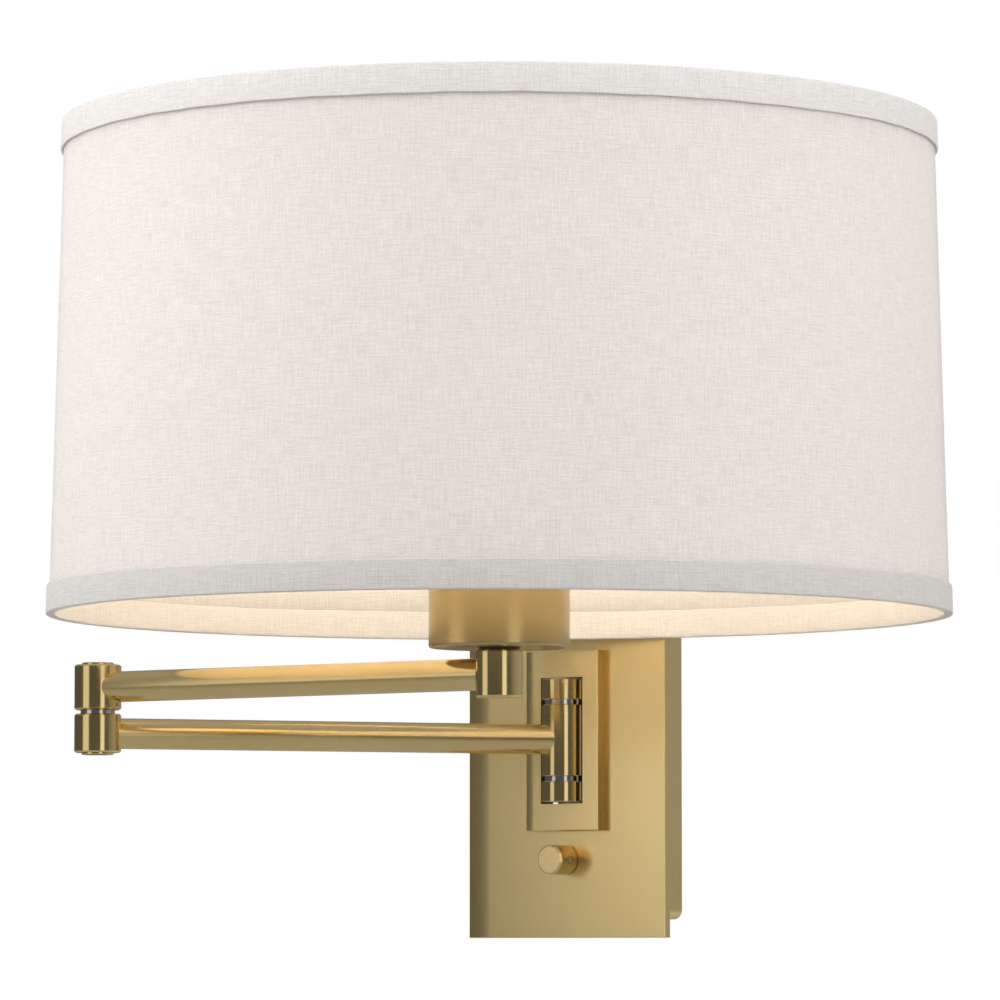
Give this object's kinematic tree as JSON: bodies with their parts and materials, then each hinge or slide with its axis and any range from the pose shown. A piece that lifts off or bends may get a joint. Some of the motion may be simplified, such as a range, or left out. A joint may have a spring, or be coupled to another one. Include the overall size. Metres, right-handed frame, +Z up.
{
  "type": "swing arm wall sconce",
  "caption": "Wall sconce with a rectangular back plate, a folding two-part brass swing arm, a dimmer knob and a wide linen drum shade over a cylindrical socket cup.",
  "frame": {"origin": "centre of the crossbar's two mounting slots, on the wall plane, at the lower arm's height", "axes": "+Z up, -Y out of the wall into the room, +X to the right as seen from the room"},
  "size_m": [0.3929, 0.3772, 0.32],
  "materials": {
    "brass": "satin, finely brushed",
    "steel": "plain turned steel",
    "screws": "zinc plated",
    "green_screw": "green grounding screw",
    "bronze_bush": "sintered",
    "dark_plastic": "matt black",
    "lead_sleeve": "clear gold lamp lead",
    "porcelain": "glazed",
    "shell_metal": "plain",
    "glass": "soft white",
    "linen": "off-white linen weave",
    "liner": "white styrene"
  },
  "bodies": {
    "wall_mount": {"wall_canopy": "brass", "face_plate": "brass", "pivot_plate": "brass", "pivot_plate_screws": "screws", "hinge_bracket": "steel", "bracket_screws": "screws", "upper_knuckle": "brass", "lower_knuckle": "brass", "knuckle_screws": "screws", "pivot_pin": "steel", "pivot_washers": "steel", "canopy_screws": "screws", "crossbar": "steel", "canopy_side_screws": "screws", "ground_screw": "green_screw", "dimmer_body": "dark_plastic", "dimmer_nut": "screws"},
    "dimmer": {"dimmer_shaft": "screws", "dimmer_knob": "brass", "knob_set_screw": "screws"},
    "lower_arm": {"pivot_barrel": "brass", "pivot_bushes": "bronze_bush", "lower_arm_tube": "brass", "lower_arm_lead": "lead_sleeve", "elbow_lower_barrel": "brass", "elbow_bottom_cap": "brass", "elbow_pin": "steel", "elbow_washer": "steel", "elbow_pin_nut": "steel"},
    "upper_arm": {"elbow_upper_barrel": "brass", "elbow_bush": "bronze_bush", "elbow_top_cap": "brass", "upper_arm_tube": "brass", "upper_arm_lead": "lead_sleeve", "lamp_barrel": "brass", "cup_spacer": "dark_plastic", "lamp_nipple": "steel", "socket_cup": "brass", "harp_saddle": "steel", "harp": "steel", "lamp_socket": "porcelain", "screw_shell": "shell_metal", "centre_contact": "shell_metal", "bulb_base": "shell_metal", "light_bulb": "glass", "shade_fabric": "linen", "shade_liner": "liner", "top_trim": "linen", "bottom_trim": "linen", "top_wire_ring": "steel", "bottom_wire_ring": "steel", "spider": "steel", "finial": "brass"}
  },
  "joints": [
    {"name": "wall_swing", "type": "hinge", "parent": "wall_mount", "child": "lower_arm", "pos_m": [0.0015, -0.0284, 0], "axis": [0, 0, 1], "range_deg": [-16, 0]},
    {"name": "elbow_swing", "type": "hinge", "parent": "lower_arm", "child": "upper_arm", "pos_m": [-0.11214, -0.19926, 0], "axis": [0, 0, 1], "range_deg": [-123, 0]},
    {"name": "dimmer_turn", "type": "hinge", "parent": "wall_mount", "child": "dimmer", "pos_m": [0, -0.03, -0.051], "axis": [0, -1, 0], "range_deg": [-270, 0]}
  ]
}
